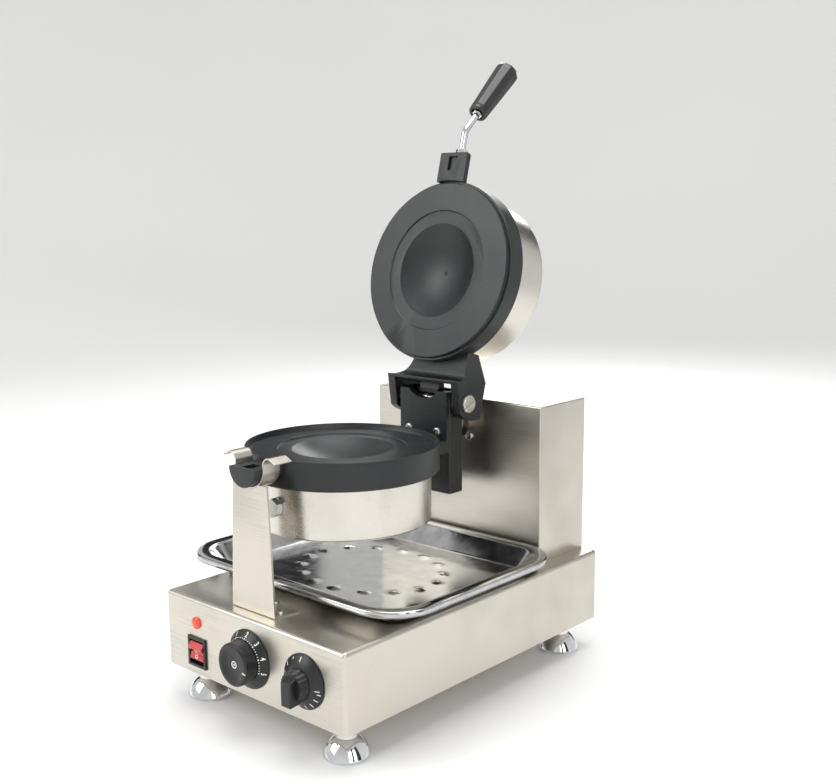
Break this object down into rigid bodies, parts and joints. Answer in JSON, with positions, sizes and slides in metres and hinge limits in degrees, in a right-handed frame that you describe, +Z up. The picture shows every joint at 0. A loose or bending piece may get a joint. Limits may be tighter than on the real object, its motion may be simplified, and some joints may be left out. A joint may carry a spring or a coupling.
{
  "type": "waffle cone maker",
  "caption": "Countertop waffle cone maker: round hinged press plates on a turning shaft, drip tray and stainless control box on chrome feet.",
  "frame": {"origin": "bottom centre of the bounding box with the lid standing open, on the surface the feet stand on", "axes": "+Z up, +X to the right of a person at the front panel, +Y from the front panel to the rear"},
  "size_m": [0.309, 0.4236, 0.6313],
  "materials": {
    "stainless": "brushed stainless sheet",
    "bright_steel": "plated steel",
    "chrome_feet": "polished chrome",
    "nonstick": "cast aluminium with black non-stick coating",
    "black_paint": "satin black",
    "housing_grey": "as cast",
    "bush_bronze": "turned",
    "heater_sheath": "heat-tinted steel sheath",
    "black_plastic": "satin black moulding",
    "red_plastic": "glossy red",
    "lamp_red": "glossy orange-red lens",
    "control_grey": "moulded"
  },
  "bodies": {
    "base": {"control_box": "stainless", "bottom_plate": "stainless", "bottom_screws": "bright_steel", "foot_1": "chrome_feet", "foot_2": "chrome_feet", "foot_3": "chrome_feet", "foot_4": "chrome_feet", "foot_studs": "bright_steel", "cable_gland": "black_plastic", "column_shell": "stainless", "column_back": "stainless", "column_back_screws": "bright_steel", "column_bracket": "stainless", "bearing_housing": "housing_grey", "bearing_bush": "bush_bronze", "bearing_screws": "bright_steel", "support_plate": "stainless", "saddle": "stainless", "support_screws": "bright_steel", "switch_bezel": "black_plastic", "lamp_lens": "lamp_red", "lamp_nut": "bright_steel", "timer_dial": "black_plastic", "timer_body": "control_grey", "thermostat_body": "control_grey", "terminal_block": "control_grey"},
    "rotor": {"lower_pan": "nonstick", "plate_screws": "bright_steel", "lower_drum": "stainless", "lower_drum_bolt": "bright_steel", "lower_cover": "stainless", "lower_cover_screws": "bright_steel", "lower_cover_posts": "bright_steel", "lower_heater": "heater_sheath", "carrier_channel": "black_paint", "channel_screws": "bright_steel", "stop_block": "black_paint", "rotor_shaft": "bright_steel", "shaft_collar": "bright_steel", "hinge_pin": "bright_steel", "hinge_nut": "bright_steel", "hinge_washers": "bright_steel", "pin_collars": "bright_steel"},
    "lid": {"upper_pan": "nonstick", "upper_drum": "stainless", "upper_drum_bolt": "bright_steel", "upper_cover": "stainless", "upper_cover_screws": "bright_steel", "upper_cover_posts": "bright_steel", "upper_heater": "heater_sheath", "handle_rod": "bright_steel", "rod_nut": "bright_steel", "grip": "black_plastic", "grip_nut": "bright_steel"},
    "rocker": {"switch_rocker": "red_plastic"},
    "timer": {"timer_knob": "black_plastic", "timer_spindle": "bright_steel"},
    "thermostat": {"thermostat_knob": "black_plastic", "thermostat_spindle": "bright_steel"},
    "tray": {"drip_tray": "stainless"}
  },
  "joints": [
    {"name": "rotor_turn", "type": "hinge", "parent": "base", "child": "rotor", "pos_m": [0.0024, 0.1148, 0.247], "axis": [0, 1, 0], "range_deg": [0, 36]},
    {"name": "lid_hinge", "type": "hinge", "parent": "rotor", "child": "lid", "pos_m": [0.0024, 0.0772, 0.2762], "axis": [1, 0, 0], "range_deg": [0, 104.5]},
    {"name": "rocker_tilt", "type": "hinge", "parent": "base", "child": "rocker", "pos_m": [-0.0651, -0.1862, 0.0565], "axis": [-1, 0, 0], "range_deg": [0, 24]},
    {"name": "timer_turn", "type": "hinge", "parent": "base", "child": "timer", "pos_m": [0.0124, -0.1892, 0.071], "axis": [0, -1, 0], "range_deg": [-200, 100]},
    {"name": "thermostat_turn", "type": "hinge", "parent": "base", "child": "thermostat", "pos_m": [0.0869, -0.1892, 0.071], "axis": [0, -1, 0], "range_deg": [-270, 0]},
    {"name": "tray_slide", "type": "slide", "parent": "base", "child": "tray", "axis": [1, 0, 0], "range_m": [0, 0.16]}
  ]
}
